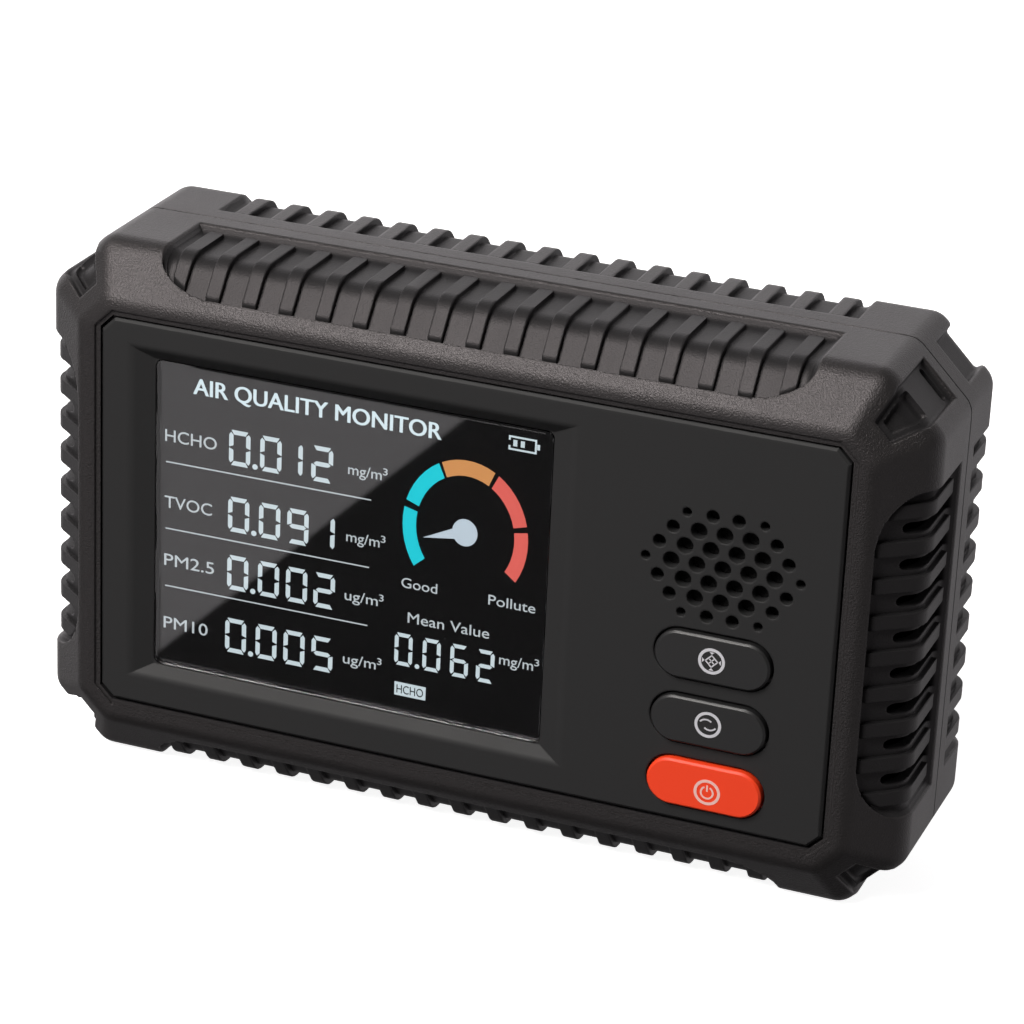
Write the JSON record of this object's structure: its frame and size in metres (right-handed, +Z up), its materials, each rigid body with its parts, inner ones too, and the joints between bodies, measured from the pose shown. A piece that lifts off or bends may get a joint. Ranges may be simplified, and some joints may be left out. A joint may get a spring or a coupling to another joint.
{
  "type": "air quality monitor",
  "caption": "Free-standing desktop air quality monitor: ribbed block housing, inset display window, vented grille and three push keys.",
  "frame": {"origin": "centre of the bounding box at the surface the monitor stands on", "axes": "+X to the right seen from the front, +Y from the display towards the back, +Z up"},
  "size_m": [0.15, 0.045, 0.091],
  "materials": {
    "housing": "fine-grained black ABS, slightly warm",
    "faceplate": "satin black plastic",
    "lens": "clear glossy acrylic window over a dark display",
    "display": "dark display glass",
    "display_text": "lit display segments",
    "display_cyan": "lit gauge segments, good end",
    "display_orange": "lit gauge segment, middle",
    "display_coral": "lit gauge segments, poor end",
    "steel": "plated sheet steel",
    "circuit_board": "green solder mask",
    "ribbon": "amber flexible circuit",
    "foam": "black open-cell foam",
    "black_keys": "satin black moulded key",
    "red_key": "satin orange-red moulded key",
    "key_print": "pale printed icon",
    "sensor_case": "blue sensor case",
    "white_plastic": "off-white plastic",
    "battery_foil": "laminated foil pouch"
  },
  "bodies": {
    "housing": {"front_housing": "housing", "rear_housing": "housing", "faceplate": "faceplate", "display_lens": "lens", "display_panel": "display", "display_frame": "steel", "display_ribbon": "ribbon", "dust_filter": "foam", "fan_frame": "black_keys", "particle_sensor_case": "sensor_case", "particle_sensor_cover": "steel", "main_board": "circuit_board", "button_board": "circuit_board", "formaldehyde_sensor": "white_plastic", "voc_sensor": "steel", "alarm_buzzer": "black_keys", "battery": "battery_foil", "battery_pad": "foam", "charging_board": "circuit_board", "usb_port": "steel", "upper_switch_body": "black_keys", "middle_switch_body": "black_keys", "power_switch_body": "black_keys", "housing_screw_1": "steel", "board_screw_1": "steel", "housing_screw_2": "steel", "board_screw_2": "steel", "housing_screw_3": "steel", "board_screw_3": "steel", "housing_screw_4": "steel", "board_screw_4": "steel"},
    "upper_key": {"upper_button": "black_keys", "upper_switch_plunger": "white_plastic"},
    "middle_key": {"middle_button": "black_keys", "middle_switch_plunger": "white_plastic"},
    "power_key": {"power_button": "red_key", "power_switch_plunger": "white_plastic"},
    "fan_wheel": {"fan_rotor": "black_keys"}
  },
  "joints": [
    {"name": "upper_press", "type": "slide", "parent": "housing", "child": "upper_key", "axis": [0, 1, 0], "range_m": [0, 0.0007], "stiffness_N_per_m": 400, "springref_m": -0.003},
    {"name": "middle_press", "type": "slide", "parent": "housing", "child": "middle_key", "axis": [0, 1, 0], "range_m": [0, 0.0007], "stiffness_N_per_m": 400, "springref_m": -0.003},
    {"name": "power_press", "type": "slide", "parent": "housing", "child": "power_key", "axis": [0, 1, 0], "range_m": [0, 0.0007], "stiffness_N_per_m": 400, "springref_m": -0.003},
    {"name": "fan_spin", "type": "hinge", "parent": "housing", "child": "fan_wheel", "pos_m": [0.0438, -0.0085, 0.0577], "axis": [0, 1, 0], "continuous": true}
  ]
}
